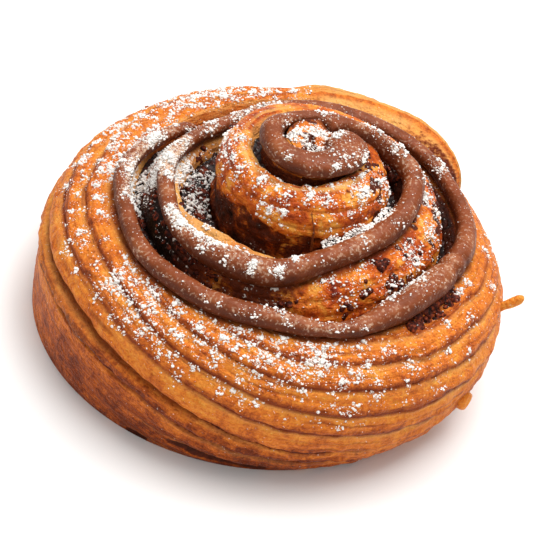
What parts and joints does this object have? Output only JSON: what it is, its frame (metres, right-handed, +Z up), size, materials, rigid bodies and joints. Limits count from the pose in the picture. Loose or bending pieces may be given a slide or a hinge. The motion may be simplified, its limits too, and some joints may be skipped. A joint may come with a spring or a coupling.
{
  "type": "cinnamon roll",
  "caption": "Round coil of laminated dough pushed up towards its middle, with a dark filling between the turns and a rope of chocolate icing piped along the spiral.",
  "frame": {"origin": "middle of the bounding box at the base, on the surface that the roll rests on", "axes": "+Z up; +X to the right and -Y to the front as the picture shows the roll, which has its loose end at the back right"},
  "size_m": [0.1229, 0.1199, 0.0648],
  "materials": {
    "baked_dough": "baked golden crust",
    "dark_filling": "moist and dark",
    "milk_chocolate": "satin, set icing"
  },
  "bodies": {
    "root": {"dough": "baked_dough", "filling": "dark_filling", "chocolate_icing": "milk_chocolate"}
  },
  "joints": []
}
